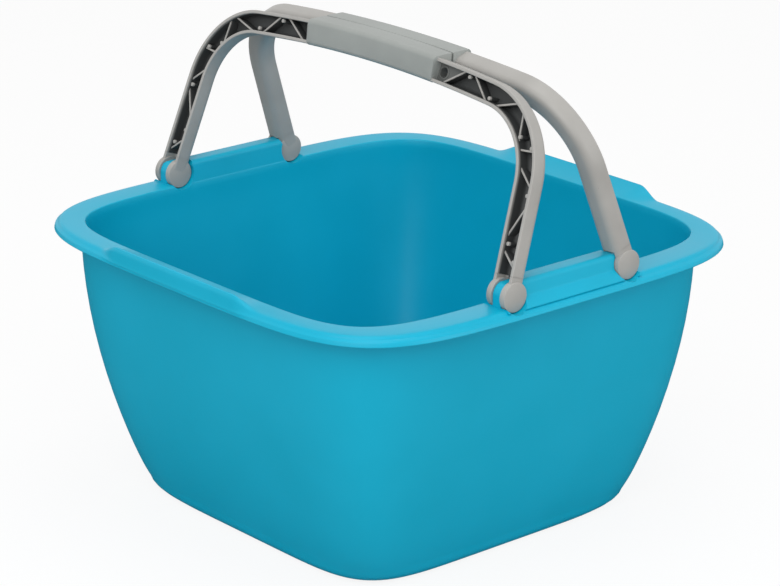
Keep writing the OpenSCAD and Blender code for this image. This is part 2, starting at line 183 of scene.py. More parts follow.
# painted shade: the hole's wall near black for the shade down the hole
boreShadePlastic = dict(handlePlastic, light="#222323", dark="#1c1d1d", roughness=(0.6, 0.7))
bluePolypropylene = mouldedPlastic("injection moulded polypropylene blue", bowlPlastic)
greyPolypropylene = mouldedPlastic("injection moulded polypropylene grey", handlePlastic)
greyGrip = mouldedPlastic("injection moulded polypropylene grey grip", gripPlastic)
greyCoreShaded = mouldedPlastic("injection moulded polypropylene grey core side", coreShadedPlastic)
greyRibShaded = mouldedPlastic("injection moulded polypropylene grey ribs painted shade", ribShadedPlastic)
greyPlateShade = mouldedPlastic("injection moulded polypropylene grey plate painted shade", plateShadePlastic)
greyBoreShade = mouldedPlastic("injection moulded polypropylene grey bore painted shade", boreShadePlastic)
print("stage: materials")


def outwards(data):
    # every face turned to look out of its closed mesh
    work = bmesh.new()
    work.from_mesh(data)
    bmesh.ops.recalc_face_normals(work, faces=work.faces)
    work.to_mesh(data)
    work.free()


def meshObject(name, verts, faces):
    # closed mesh from points in millimetres
    data = bpy.data.meshes.new(name)
    data.from_pydata([tuple(c * mm for c in v) for v in verts], [], faces)
    outwards(data)
    made = bpy.data.objects.new(name, data)
    bpy.context.scene.collection.objects.link(made)
    return made


def evaluated(obj):
    # the object with its modifiers turned into plain mesh
    graph = bpy.context.evaluated_depsgraph_get()
    plain = bpy.data.meshes.new_from_object(obj.evaluated_get(graph), depsgraph=graph)
    obj.modifiers.clear()
    old = obj.data
    obj.data = plain
    if old.users == 0:
        bpy.data.meshes.remove(old)
    return obj


def combine(base, others, operation):
    # one exact boolean of several closed solids, which are used up
    group = bpy.data.collections.new("operands")
    bpy.context.scene.collection.children.link(group)
    for other in others:
        group.objects.link(other)
    change = base.modifiers.new("combine", "BOOLEAN")
    change.operand_type = "COLLECTION"
    change.collection = group
    change.operation = operation
    change.solver = "EXACT"
    evaluated(base)
    for other in others:
        bpy.data.objects.remove(other)
    bpy.data.collections.remove(group)
    return base


def arcCorner(p, a, b, radius, steps):
    # points of the round at corner p, between the neighbours a and b
    toA = (a - p).normalized()
    toB = (b - p).normalized()
    half = math.acos(max(-1.0, min(1.0, toA.dot(toB)))) / 2
    centre = p + (toA + toB).normalized() * radius / math.sin(half)
    first = p + toA * radius / math.tan(half) - centre
    last = p + toB * radius / math.tan(half) - centre
    turn = math.pi - 2 * half
    return [centre + (first * math.sin((1 - k / steps) * turn) + last * math.sin(k / steps * turn))
            / math.sin(turn) for k in range(steps + 1)]


def roundedOutline(corners, radii, steps):
    pts = [Vector(c) for c in corners]
    out = []
    for i, radius in enumerate(radii):
        out += arcCorner(pts[i], pts[i - 1], pts[(i + 1) % len(pts)], radius, steps) if radius else [pts[i]]
    return out


def loft(name, sections):
    # closed skin over sections of as many points each, with flat ends
    count = len(sections[0])
    verts = [p for section in sections for p in section]
    faces = []
    for low in range(0, count * (len(sections) - 1), count):
        for i in range(count):
            following = (i + 1) % count
            faces.append((low + i, low + following, low + count + following, low + count + i))
    faces += [tuple(reversed(range(count))), tuple(range((len(sections) - 1) * count, len(verts)))]
    return meshObject(name, verts, faces)


def circle(r, steps):
    return [(r * math.cos(t), r * math.sin(t)) for t in (2 * math.pi * k / steps for k in range(steps))]


def lathe(name, profile, steps):
    # solid turned about the X axis; profile is (x, radius) from one end to the other
    return loft(name, [[(x, u, v) for u, v in circle(r, steps)] for x, r in profile])


def rise(z):
    # 0 at the top of the base's round edge, 1 at the underside of the rim
    return max((z - bowlShape["edge"]) / (flangeZ - bowlShape["edge"]), 0.0)


def wallA(z):
    # half width of the wall's outside along X at a height
    s = bowlShape
    inset = 0.0 if z >= s["edge"] else s["edge"] - math.sqrt(s["edge"] ** 2 - (s["edge"] - z) ** 2)
    straight = s["baseW"] / 2 + (wallTop - s["baseW"] / 2) * rise(z)
    return straight + s["belly"] * 4 * rise(z) * (1 - rise(z)) - inset


def wallB(z):
    # the same along Y
    return wallA(z) + (bowlShape["mouthY"] - bowlShape["mouthX"]) / 2 * rise(z)


def wallE(z):
    # how square the outline is at a height
    s = bowlShape
    return s["wallN"] - (s["wallN"] - s["mouthN"]) * rise(z) ** 2 - s["baseFall"] * math.exp(-z / 9)


crestAngle = math.degrees(math.atan(2 * bowlShape["crestX"] / bowlShape["rimY"]))
rampAngle = math.degrees(math.atan(2 * (bowlShape["crestX"] + bowlShape["ramp"]) / bowlShape["rimY"]))


def spread(a, b, count):
    # even steps from a up to, but without, b
    return [a + (b - a) * k / count for k in range(count)]


quarter = (spread(0, crestAngle, 8) + spread(crestAngle, rampAngle, 14) + spread(rampAngle, 45, 18)
           + spread(45, 90, 30))
directions = quarter + [90.0] + [180 - t for t in reversed(quarter[1:])]
directions += [180 + t for t in directions]


def crestShare(t):
    # share of the crest height in a direction, eased at the ends of the raised middle
    off = abs(((t + 90) % 180) - 90)
    share = min(1.0, max(0.0, (rampAngle - off) / (rampAngle - crestAngle)))
    return share * share * (3 - 2 * share)


def ring(a, b, n, z, lift=0.0, shift=0.0):
    # outline of half widths a and b, squareness n and height z, lifted and shifted at the crest
    out = []
    for t in directions:
        share = crestShare(t)
        s, c = math.sin(math.radians(t)), math.cos(math.radians(t))
        r = ((abs(s) / a) ** n + (abs(c) / (b + shift * share)) ** n) ** (-1 / n)
        out.append((r * s, -r * c, z + lift * share))
    return out


def bowlRings():
    s = bowlShape
    a, b, z, w = s["rimX"] / 2, s["rimY"] / 2, s["rimZ"], s["wall"]
    levels = [13, 16, 20, 26, 34, 44, 56, 70, 86, 102, 118, 134, 150, 164, 176, 186]
    floorSteps = [0, 0.25, 0.8, 1.8, 3.2, 5.2, 7.8]
    edgeSteps = [0, 0.2, 0.8, 1.8, 3.2, 5.0, 7.2]
    mouthA, mouthB = s["mouthX"] / 2, s["mouthY"] / 2
    rings = [ring(wallA(h * 0.9) - w, wallB(h * 0.9) - w, wallE(h), h + s["floor"]) for h in floorSteps]
    rings += [ring(wallA(h) - w, wallB(h) - w, wallE(h), h) for h in levels]
    rings += [ring(mouthA - 0.5, mouthB - 0.5, s["mouthN"], z - 6),
              ring(mouthA - 0.3, mouthB - 0.3, s["mouthN"], z - 2.4)]
    lipR = 0.9
    for t in (0, 22, 45, 68, 90):
        c, up = lipR * math.cos(math.radians(t)), lipR * math.sin(math.radians(t))
        rings.append(ring(mouthA + lipR - c, mouthB + lipR - c, s["mouthN"], z - lipR + up))
    lift = s["crest"]
    rings += [ring(a - 9.5, b - 8.0, s["flatN"], z, lift - 1.7, 3.2),
              ring(a - 7.5, b - 6.0, s["flatN"], z, lift - 0.6, 3.2),
              ring(a - 6.2, b - 4.9, s["flatN"] - 0.05, z - 0.2, lift - 0.7, 3.1),
              ring(a - 5.3, b - 4.1, s["flatN"] - 0.1, z - 0.7, lift - 1.3, 3.0),
              ring(a - 4.7, b - 3.5, 5.15, z - 1.4, lift - 2.8, 2.8),
              ring(a - 4.2, b - 3.0, 5.1, z - 2.0, lift - 6.6, 2.6),
              ring(a - 3.2, b - 2.3, 5.05, z - 2.5, -0.2, 2.1),
              ring(a - 1.4, b - 1.0, 4.95, z - 3.4, -0.7, 1.1),
              ring(a - 0.7, b - 0.6, 4.9, z - 4.2, -0.6, 0.4),
              ring(a - 0.1, b - 0.1, s["rimN"], z - s["skirt"] + 0.5),
              ring(a - 0.4, b - 0.4, s["rimN"], z - s["skirt"]),
              ring(a - 2.0, b - 2.0, s["rimN"], z - s["skirt"]),
              ring(a - 3.6, b - 3.2, 4.95, z - 4.6, lift - 8.6, 1.1),
              ring(a - 6.6, b - 5.4, 5.1, z - 3.1, lift - 6.4, 2.6),
              ring(a - 8.4, b - 7.8, s["flatN"], z - w, lift - 1.6, 3.0),
              ring(wallTop + 0.8, mouthB + w + 0.8, s["mouthN"], flangeZ),
              ring(wallTop + 0.2, mouthB + w + 0.2, s["mouthN"], flangeZ - 0.8),
              ring(wallTop, mouthB + w, s["mouthN"], flangeZ - 3)]
    rings += [ring(wallA(h), wallB(h), wallE(h), h) for h in reversed(levels)]
    rings += [ring(wallA(h), wallB(h), wallE(h), h) for h in [10] + edgeSteps[::-1]]
    return rings


def rollSection():
    # the raised roll across the rim, from the mouth outward, (x, z)
    s = bowlShape
    rollZ = pivotZ + s["lugR"] - 0.2
    inX, outX, root = s["mouthX"] / 2 + 0.1, s["rimX"] / 2 - 2.6, s["rimZ"] - 1.6
    return roundedOutline(
        [(inX, root), (inX + 1.9, rollZ), (s["lugX"] + 3.6, rollZ), (s["lugX"] + 5.6, s["rimZ"] + 5),
         (outX - 0.6, s["rimZ"] - 1), (outX - 0.6, root)], [0, 3.6, 3.6, 2.0, 0, 0], 8)


def rollEnd():
    # the roll seen along X: rounded about the pivots, (y, z)
    s = bowlShape
    root = s["rimZ"] - 2.6
    top = pivotZ + s["lugR"] + 1
    right = [(s["pivotY"] + s["lugR"] * math.cos(t), pivotZ + s["lugR"] * math.sin(t))
             for t in (math.radians(90 * k / 20) for k in range(21))]
    right += [(s["pivotY"] - 0.5, top)]
    return [(s["pivotY"] + s["lugR"], root)] + right + [(-y, z) for y, z in reversed(right)] \
        + [(-s["pivotY"] - s["lugR"], root)]


def slab(name, outline, low, high, place):
    # prism over an outline; place turns (u, v, along) into a point
    return loft(name, [[place(u, v, along) for u, v in outline] for along in (low, high)])


def sweepOutline(lean, drop, half):
    # room an ear and its leg pass through, seen along X with the pivot at the origin
    s = bowlShape
    r = s["earR"] + s["pocketGap"]
    h, far = half + s["pocketGap"], 3 * s["earR"]
    up, down = (-math.sin(lean), math.cos(lean)), (math.cos(drop), math.sin(drop))
    a0 = (-h * math.cos(lean), -h * math.sin(lean))
    b0 = (h * math.sin(drop), -h * math.cos(drop))
    root = math.sqrt(r * r - h * h)
    onA = (a0[0] + root * up[0], a0[1] + root * up[1])
    onB = (b0[0] + root * down[0], b0[1] + root * down[1])
    first, last = math.atan2(onA[1], onA[0]) % (2 * math.pi), math.atan2(onB[1], onB[0])
    last = last if last > first else last + 2 * math.pi
    turns = [first + (last - first) * k / 48 for k in range(49)]
    arc = [(r * math.cos(t), r * math.sin(t)) for t in turns]
    return arc + [(b0[0] + far * down[0], b0[1] + far * down[1]), (far, 2 * far),
                  (a0[0] + far * up[0], a0[1] + far * up[1])]


def bowlPiece():
    # skin with rolls and pads added, then pockets, bores and the hollows under the rolls cut out
    s = bowlShape
    shell = loft("bowl_visual", bowlRings())
    extra = []
    for side in (1, -1):
        rolled = slab("roll", [tuple(p) for p in rollSection()], -s["pivotY"] - s["lugR"] - 1,
                      s["pivotY"] + s["lugR"] + 1, lambda x, z, y: (side * x, y, z))
        ends = slab("end", rollEnd(), s["mouthX"] / 2 - 2, s["rimX"] / 2, lambda y, z, x: (side * x, y, z))
        combine(rolled, [ends], "INTERSECT")
        padY = s["pivotY"] + s["earR"] + s["pocketGap"] + s["wall"]
        baseZ = s["rimZ"] - s["skirt"] + 0.5
        padZ = s["rimZ"] - s["padTop"]
        pad = slab("pad", [(-padY, baseZ), (padY, baseZ), (padY, padZ), (-padY, padZ)],
                   s["mouthX"] / 2 + s["padIn"], s["rimX"] / 2 - s["padOut"],
                   lambda y, z, x: (side * x, y, z))
        extra += [rolled, pad]
    combine(shell, extra, "UNION")
    cutters = []
    outline = sweepOutline(leanAngle, handleShape["drop"], halfD)
    inner, outer = s["lugX"] - s["tongue"] / 2, s["lugX"] + s["tongue"] / 2
    for sx in (1, -1):
        for sy in (1, -1):
            place = lambda u, v, x: (sx * x, sy * (s["pivotY"] + u), pivotZ + v)
            cutters += [slab("pocket", outline, inner - 20, inner, place),
                        slab("pocket", outline, outer, outer + 20, place)]
            cutters += [slab("bore", circle(s["boreR"], 48), inner - 2, outer + 2, place)]
        coreEnd = s["pivotY"] - s["earR"] - 5
        bay = coreEnd / 2
        for k in range(4):
            y0 = -coreEnd + k * bay + 1
            z0, z1 = s["rimZ"] - s["skirt"] - 1.5, pivotZ + s["lugR"] - 0.2 - 2 * s["wall"]
            cutters += [slab("core", [(y0, z0), (y0 + bay - 2, z0), (y0 + bay - 2, z1), (y0, z1)],
                             s["lugX"] - 7, s["lugX"] + 3, lambda y, z, x: (sx * x, y, z))]
    combine(shell, cutters, "DIFFERENCE")
    return shell


def shaded(obj, degrees):
    # smooth shading with the true edges kept
    for face in obj.data.polygons:
        face.use_smooth = True
    obj.data.set_sharp_from_angle(angle=math.radians(degrees))
    return obj


def finishPiece(obj, material, sharp):
    # doubled points taken out, one material, shaded
    work = bmesh.new()
    work.from_mesh(obj.data)
    bmesh.ops.remove_doubles(work, verts=work.verts, dist=0.002 * mm)
    bmesh.ops.dissolve_degenerate(work, edges=work.edges, dist=0.002 * mm)
    work.to_mesh(obj.data)
    work.free()
    shaded(obj, sharp)
    obj.data.materials.clear()
    obj.data.materials.append(material)
    for face in obj.data.polygons:
        face.material_index = 0
    return obj


bowl = finishPiece(bowlPiece(), bluePolypropylene, 28)
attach(bowl, "bowl")
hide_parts("bowl")
print("stage: bowl", len(bowl.data.polygons), "faces")

# The handle: one path up the leg, round the corner and along the bowed top, on the +X side.
# Local axes of the arch: u across, v up the arch, w out of its open side
legDir = Vector((-math.sin(handleShape["legLean"]), math.cos(handleShape["legLean"])))
legIn = Vector((-math.cos(handleShape["legLean"]), -math.sin(handleShape["legLean"])))
topC = handleShape["archH"] - handleShape["topR"]
legStart = Vector((handleShape["archX"], -topC)) + legIn * handleShape["cornerR"]
along = legStart.dot(legDir)
legLen = -along + math.sqrt(along ** 2 - legStart.length_squared
                            + (handleShape["topR"] - handleShape["cornerR"]) ** 2)
cornerC = legStart + legDir * legLen + Vector((0, topC))
cornerA = math.atan(cornerC.x / (cornerC.y - topC))
gripA = math.asin(handleShape["gripX"] / handleShape["topR"])
forkS = handleShape["earR"] + 2.5
sectionSteps = 8


# Points q millimetres inside the arch's outer edge, on its top, its corner and its leg
def onTop(u, q):
    return Vector((u, topC + math.sqrt((handleShape["topR"] - q) ** 2 - u * u)))


def onCorner(degrees, q):
    t = math.radians(degrees)
    return cornerC + (handleShape["cornerR"] - q) * Vector((math.cos(t), math.sin(t)))


def onLeg(s, q):
    return Vector((handleShape["archX"], 0)) + legDir * s + legIn * q


def archPath():
    # outer edge of the arch from above the fork to just inside the grip
    low, high = math.degrees(handleShape["legLean"]), 90 - math.degrees(cornerA)
    pts = [onLeg(forkS + (legLen - forkS) * k / 14, 0) for k in range(14)]
    pts += [onCorner(low + (high - low) * k / 44, 0) for k in range(45)]
    edge = onCorner(high, 0).x
    pts += [onTop(edge + (handleShape["gripX"] - 0.6 - edge) * k / 16, 0) for k in range(1, 17)]
    return [(p.x, p.y, 0.0) for p in pts]


def channelOutline():
    # (inward, across), open towards +across
    s, w = handleShape["skin"], handleShape["barW"]
    lip, outer, core = 0.6, handleShape["backR"], handleShape["coreR"]
    return [tuple(p) for p in roundedOutline(
        [(0, halfD), (0, -halfD), (w, -halfD), (w, halfD),
         (w - s, halfD), (w - s, s - halfD), (s, s - halfD), (s, halfD)],
        [lip, outer, outer, lip, lip, core, core, lip], sectionSteps)]


def clipOutline(points, low, high):
    # part of a closed outline between two values of its first coordinate
    for side, limit in ((1, low), (-1, high)):
        out = []
        for a, b in zip(points, points[1:] + points[:1]):
            inA, inB = side * (a[0] - limit) >= 0, side * (b[0] - limit) >= 0
            if inA:
                out.append(a)
            if inA != inB:
                f = (limit - a[0]) / (b[0] - a[0])
                out.append((limit, a[1] + f * (b[1] - a[1])))
        points = out
    return points


def nodeGroup(name, sockets):
    # geometry node group with one geometry in and out, and named inputs
    tree = bpy.data.node_groups.new(name, "GeometryNodeTree")
    tree.interface.new_socket("Geometry", in_out="INPUT", socket_type="NodeSocketGeometry")
    tree.interface.new_socket("Geometry", in_out="OUTPUT", socket_type="NodeSocketGeometry")
    for label, kind in sockets:
        tree.interface.new_socket(label, in_out="INPUT", socket_type=kind)
    return tree, addNode(tree, "NodeGroupInput").outputs


def grown(obj, tree, values):
    # runs a node group on an object and keeps the result as plain mesh
    change = obj.modifiers.new(tree.name, "NODES")
    change.node_group = tree
    for item in tree.interface.items_tree:
        if item.in_out == "INPUT" and item.name in values:
            change[item.identifier] = values[item.name]
    return evaluated(obj)


def wire(name, points, closed=False, attributes=None):
    # points in millimetres joined in a row, with a number per point for each attribute
    data = bpy.data.meshes.new(name)
    last = len(points) if closed else len(points) - 1
    edges = [(k, (k + 1) % len(points)) for k in range(last)]
    data.from_pydata([tuple(c * mm for c in p) for p in points], edges, [])
    for key, values in (attributes or {}).items():
        data.attributes.new(key, "FLOAT", "POINT").data.foreach_set("value", values)
    made = bpy.data.objects.new(name, data)
    bpy.context.scene.collection.objects.link(made)
    return made


def sweepGroup():
    # a closed section carried along the path, its points marked core in the core-side material with painted
    # shade
    tree, given = nodeGroup("section along a path", [
        ("Section", "NodeSocketObject"), ("Outer skin", "NodeSocketMaterial"),
        ("Core side painted shade", "NodeSocketMaterial")])
    section = addNode(tree, "GeometryNodeObjectInfo", {"Object": given["Section"]})
    outline = addNode(tree, "GeometryNodeMeshToCurve", {0: section.outputs["Geometry"]})
    path = addNode(tree, "GeometryNodeMeshToCurve", {0: given["Geometry"]})
    upright = addNode(tree, "GeometryNodeSetCurveNormal", {"Curve": path.outputs[0]})
    upright.mode = "Z_UP"
    skin = addNode(tree, "GeometryNodeCurveToMesh", {
        "Curve": upright.outputs[0], "Profile Curve": outline.outputs[0], "Fill Caps": True})
    inner = addNode(tree, "GeometryNodeInputNamedAttribute", {"Name": "core"}, data_type="FLOAT")
    deep = addNode(tree, "FunctionNodeCompare", {0: inner.outputs[0], 1: 0.7}, data_type="FLOAT",
                   operation="GREATER_THAN")
    outer = addNode(tree, "GeometryNodeSetMaterial", {
        "Geometry": skin.outputs[0], "Material": given["Outer skin"]})
    both = addNode(tree, "GeometryNodeSetMaterial", {
        "Geometry": outer.outputs[0], "Selection": deep.outputs[0], "Material": given["Core side painted shade"]})
    real = addNode(tree, "GeometryNodeRealizeInstances", {0: both.outputs[0]})
    addNode(tree, "NodeGroupOutput", {0: real.outputs[0]})
    return tree


def repeatGroup():
    # one bar or boss on every point, turned and stretched as the point says
    tree, given = nodeGroup("ribs and bosses", [
        ("Rib thickness", "NodeSocketFloat"), ("Rib depth", "NodeSocketFloat"),
        ("Boss radius", "NodeSocketFloat"), ("Boss depth", "NodeSocketFloat"),
        ("Core side painted shade", "NodeSocketMaterial")])
    length, angle = (addNode(tree, "GeometryNodeInputNamedAttribute", {"Name": name},
                             data_type="FLOAT").outputs[0] for name in ("length", "angle"))
    points = addNode(tree, "GeometryNodeMeshToPoints", {"Mesh": given["Geometry"]})
    isRib = addNode(tree, "FunctionNodeCompare", {0: length, 1: 0.0001}, data_type="FLOAT",
                    operation="GREATER_THAN")
    split = addNode(tree, "GeometryNodeSeparateGeometry", {
        "Geometry": points.outputs[0], "Selection": isRib.outputs[0]}, domain="POINT")
    bar = addNode(tree, "GeometryNodeMeshCube", {"Size": (1.0, 1.0, 1.0)})
    turned = addNode(tree, "ShaderNodeCombineXYZ", {"Z": angle})
    stretched = addNode(tree, "ShaderNodeCombineXYZ", {
        "X": length, "Y": given["Rib thickness"], "Z": given["Rib depth"]})
    bars = addNode(tree, "GeometryNodeInstanceOnPoints", {
        "Points": split.outputs[0], "Instance": bar.outputs[0], "Rotation": turned.outputs[0],
        "Scale": stretched.outputs[0]})
    post = addNode(tree, "GeometryNodeMeshCylinder", {
        "Vertices": 24, "Radius": given["Boss radius"], "Depth": given["Boss depth"]})
    posts = addNode(tree, "GeometryNodeInstanceOnPoints", {
        "Points": split.outputs[1], "Instance": post.outputs[0]})
    joined = tree.nodes.new("GeometryNodeJoinGeometry")
    tree.links.new(posts.outputs[0], joined.inputs[0])
    tree.links.new(bars.outputs[0], joined.inputs[0])
    real = addNode(tree, "GeometryNodeRealizeInstances", {0: joined.outputs[0]})
    # all in the rib material, whose colour darkens with depth as painted shade
    coat = addNode(tree, "GeometryNodeSetMaterial", {
        "Geometry": real.outputs[0], "Material": given["Core side painted shade"]})
    addNode(tree, "NodeGroupOutput", {0: coat.outputs[0]})
    return tree


def softened(obj, width, degrees):
    # small round on the edges sharper than the angle
    edge = obj.modifiers.new("tool radius", "BEVEL")
    edge.width = width * mm
    edge.segments = 2
    edge.limit_method = "ANGLE"
    edge.angle_limit = math.radians(degrees)
    return evaluated(obj)


def mirrored(obj):
    # the same part on the -X side of the arch
    twin = obj.copy()
    twin.data = obj.data.copy()
    bpy.context.scene.collection.objects.link(twin)
    twin.data.transform(Matrix.Scale(-1, 4, (1, 0, 0)))
    twin.data.flip_normals()
    return twin


sweepTree = sweepGroup()
repeatTree = repeatGroup()


def channelSide():
    # channel section along the arch, open side out; its inner walls carry the core-side material, rougher
    # and with painted shade that darkens with depth
    section = channelOutline()
    corner = sectionSteps + 1
    core = [float(4.5 * corner < k < 7.5 * corner) for k in range(len(section))]
    outline = wire("section", [(-q, -across, 0) for q, across in section], True, {"core": core})
    side = wire("arch", archPath())
    grown(side, sweepTree, {"Section": outline, "Outer skin": greyPolypropylene, "Core side painted shade": greyCoreShaded})
    bpy.data.objects.remove(outline)
    outwards(side.data)
    # the channel's end faces by the fork take the same painted-shade material
    coreSlot = list(side.data.materials).index(greyCoreShaded)
    for face in side.data.polygons:
        if face.normal.xy.dot(legDir) < -0.9 and face.center.y < 2 * forkS * mm:
            face.material_index = coreSlot
    return side


def forkSide():
    # the channel's two side walls, carried on from the end of the channel to the pivot
    parts = []
    s, w = handleShape["skin"] + 0.8, handleShape["barW"]
    section = channelOutline()
    for low, high in ((0, s), (w - s, w)):
        cut = clipOutline(section, low, high)
        parts.append(loft("fork", [[tuple(onLeg(k, q)) + (across,) for q, across in cut]
                                   for k in (0, forkS + 0.3)]))
        parts[-1].data.materials.append(greyPolypropylene)
    return parts


def earSide():
    # two round ears beside the lug, and the stub pins that reach into its bore from both
    h, s = handleShape, bowlShape
    inFace = s["lugX"] - s["tongue"] / 2 - h["sideGap"]
    outFace = s["lugX"] + s["tongue"] / 2 + h["sideGap"]
    low, high, r = h["archX"] - h["barW"] - 0.2, h["archX"] + 0.2, h["earR"]
    pin = s["boreR"] - h["pinFit"]
    shapes = [[(low, r - 0.6), (low + 0.18, r - 0.18), (low + 0.6, r),
               (inFace - 0.2, r), (inFace, r - 0.2)],
              [(outFace, r - 0.2), (outFace + 0.2, r),
               (high - 0.6, r), (high - 0.18, r - 0.18), (high, r - 0.6)],
              [(inFace - 1, pin), (s["lugX"] - 1.0, pin), (s["lugX"] - 0.4, pin - 0.6)],
              [(s["lugX"] + 0.4, pin - 0.6), (s["lugX"] + 1.0, pin), (outFace + 0.6, pin)]]
    made = [lathe("ear", shape, 72) for shape in shapes]
    for part in made:
        part.data.materials.append(greyPolypropylene)
    return made


def ribSide():
    # zigzag of ribs between the channel's walls, with round bosses in its corners
    h = handleShape
    low, top = h["skin"] - halfD - 0.4, halfD - 3
    inQ, outQ = h["barW"] - h["skin"] + 1.1, h["skin"] - 1.1
    g = h["gripX"]
    ends = [(onTop(g + 6.5, inQ), onTop(g + 27, outQ)), (onTop(g + 34, outQ), onTop(g + 50, inQ)),
            (onCorner(80, inQ), onCorner(60, outQ)), (onCorner(55, outQ), onCorner(37, inQ)),
            (onCorner(31, inQ), onCorner(25, outQ)), (onCorner(17, inQ), onLeg(legLen - 4, outQ)),
            (onLeg(legLen - 10, outQ), onLeg(forkS + 24.5, inQ)),
            (onLeg(forkS + 15.5, inQ), onLeg(forkS + 3, outQ))]
    bossIn, bossOut = h["barW"] - h["skin"] - 2, h["skin"] + 2
    bosses = [onTop(g + 31, bossOut), onCorner(87, bossIn), onCorner(40, bossIn), onCorner(28, bossOut),
              onLeg(legLen - 7, bossOut), onLeg(forkS + 20, bossIn), onLeg(forkS + 9, bossOut)]
    places = [tuple((a + b) / 2) + ((low + top) / 2,) for a, b in ends]
    places += [tuple(p) + ((low + top + 1) / 2,) for p in bosses]
    lengths = [(b - a).length * mm for a, b in ends] + [0.0] * len(bosses)
    angles = [math.atan2(b.y - a.y, b.x - a.x) for a, b in ends] + [0.0] * len(bosses)
    seeds = wire("ribs", places, False, {"length": lengths, "angle": angles})
    # painted shade: ribs and bosses darken towards the bottom of the channel
    grown(seeds, repeatTree, {
        "Rib thickness": h["ribSeen"] * mm, "Rib depth": (top - low) * mm, "Boss radius": h["bossR"] * mm,
        "Boss depth": (top + 1 - low) * mm, "Core side painted shade": greyRibShaded})
    return softened(seeds, 0.22, 60)


def gripSections(outline, first, last, count):
    # outline in the raised handle's (y, z), bent round the centre of the bowed top
    flat = []
    for y, z in outline:
        a, b = y + bowlShape["pivotY"], z - pivotZ
        flat.append((a * math.sin(leanAngle) + b * math.cos(leanAngle) - topC,
                     -a * math.cos(leanAngle) + b * math.sin(leanAngle)))
    out = []
    for k in range(count + 1):
        turn = first + (last - first) * k / count
        out.append([(r * math.sin(turn), topC + r * math.cos(turn), w) for r, w in flat])
    return out


def gripPiece():
    # closed grip bent along the top, hollow towards the other handle in bays
    h = handleShape
    top = pivotZ + h["archH"] * math.cos(leanAngle) + halfD * math.sin(leanAngle) + h["gripCrown"]
    low = top - h["gripH"]
    mate = h["mateSeen"]
    body = loft("grip", gripSections([tuple(p) for p in roundedOutline(
        [(-mate, top), (-h["gripD"], top), (-h["gripD"] - h["gripSlope"], low), (-mate, low)],
        [0.6, 3.4, 3.0, 0.8], 8)], -gripA, gripA, 20))
    softened(body, 0.8, 50)
    bays, thick = 8, math.asin(h["skin"] / h["topR"])
    bay = (2 * gripA - thick) / bays
    t = h["skin"]
    hollow = [tuple(p) for p in roundedOutline(
        [(5, top - t), (t - h["gripD"], top - t),
         (t - h["gripD"] - h["gripSlope"], low + t), (5, low + t)],
        [0.5, 1.6, 1.4, 0.5], 5)]
    cutters = [loft("bay", gripSections(hollow, -gripA + thick + k * bay, -gripA + (k + 1) * bay, 2))
               for k in range(bays)]
    combine(body, cutters, "DIFFERENCE")
    body.data.materials.clear()
    body.data.materials.append(greyGrip)
    return body


def holeParts():
    # plate beside the grip, the ring round its hole, and the cutter for everything the hole goes through
    h = handleShape
    centre = onTop(h["gripX"] + h["holeOut"], h["barW"] / 2)
    top, low = 1.6, h["skin"] - halfD - 0.4
    edge = [onTop(h["gripX"] - 1, h["barW"] - 1), onTop(h["gripX"] + 6, h["barW"] - 1),
            onTop(h["gripX"] + 27, 1.2), onTop(h["gripX"] - 1, 1.2)]
    plate = loft("plate", [[(p.x, p.y, z) for p in edge] for z in (top - h["skin"], top)])

    def post(r, z0, z1, material):
        made = loft("post", [[(centre.x + u, centre.y + v, z) for u, v in circle(r, 48)]
                             for z in (z0, z1)])
        made.data.materials.append(material)
        return made
    # painted shade: plate and the ring round its hole in the darker grey
    plate.data.materials.append(greyPlateShade)
    tube = softened(post(h["holeR"] + 1.4, low, top + 0.35, greyPlateShade), 0.3, 50)
    combine(plate, [tube], "UNION")
    # the hole's cut wall takes the near-black painted shade
    combine(plate, [post(h["holeR"], -halfD - 8, halfD, greyBoreShade)], "DIFFERENCE")
    return plate, post(h["holeR"], -halfD - 8, halfD, greyBoreShade)


def studPiece():
    # in the raised front handle's own place, along +Y
    h = handleShape
    centre = onTop(h["gripX"] + h["holeOut"], h["barW"] / 2)
    z = pivotZ + centre.y * math.cos(leanAngle) - (halfD - 1) * math.sin(leanAngle)
    y = bowlShape["pivotY"] - centre.y * math.sin(leanAngle) - halfD * math.cos(leanAngle)
    x = -h["gripX"] - h["holeOut"]
    profile = [(-y - 1.6, 2.5), (y - 1, 2.5), (y - 0.6, 2.4), (y + 1.1, 1.65), (y + 1.4, 1.3)]
    made = loft("stud", [[(x + u, at, z + v) for u, v in circle(r, 36)] for at, r in profile])
    made.data.materials.append(greyPolypropylene)
    return made


def joined(parts, name):
    # one object from many, keeping each material
    palette = []
    work = bmesh.new()
    for part in parts:
        for material in part.data.materials:
            if material not in palette:
                palette.append(material)
        slots = [palette.index(material) for material in part.data.materials]
        before = len(work.faces)
        work.from_mesh(part.data)
        work.faces.ensure_lookup_table()
        for face in work.faces[before:]:
            face.material_index = slots[min(face.material_index, len(slots) - 1)]
        bpy.data.objects.remove(part)
    data = bpy.data.meshes.new(name)
    work.to_mesh(data)
    work.free()
    for material in palette:
        data.materials.append(material)
    made = bpy.data.objects.new(name, data)
    bpy.context.scene.collection.objects.link(made)
    return made


def handlePiece(name):
    # built flat in the arch's own plane, then raised, leaned and given its stud
    side = channelSide()
    plate, cutter = holeParts()
    other = mirrored(side)
    # the hole cut through the channel takes the same near-black painted shade
    combine(side, [cutter], "DIFFERENCE")
    pieces = [side, other, plate, gripPiece()]
    for part in forkSide() + earSide() + [ribSide()]:
        pieces += [part, mirrored(part)]
    whole = joined(pieces, name)
    place = Matrix.Translation((0, -bowlShape["pivotY"] * mm, pivotZ * mm)) @ Matrix.Rotation(
        math.pi / 2 - leanAngle, 4, "X")
    whole.data.transform(place)
    return joined([whole, studPiece()], name)


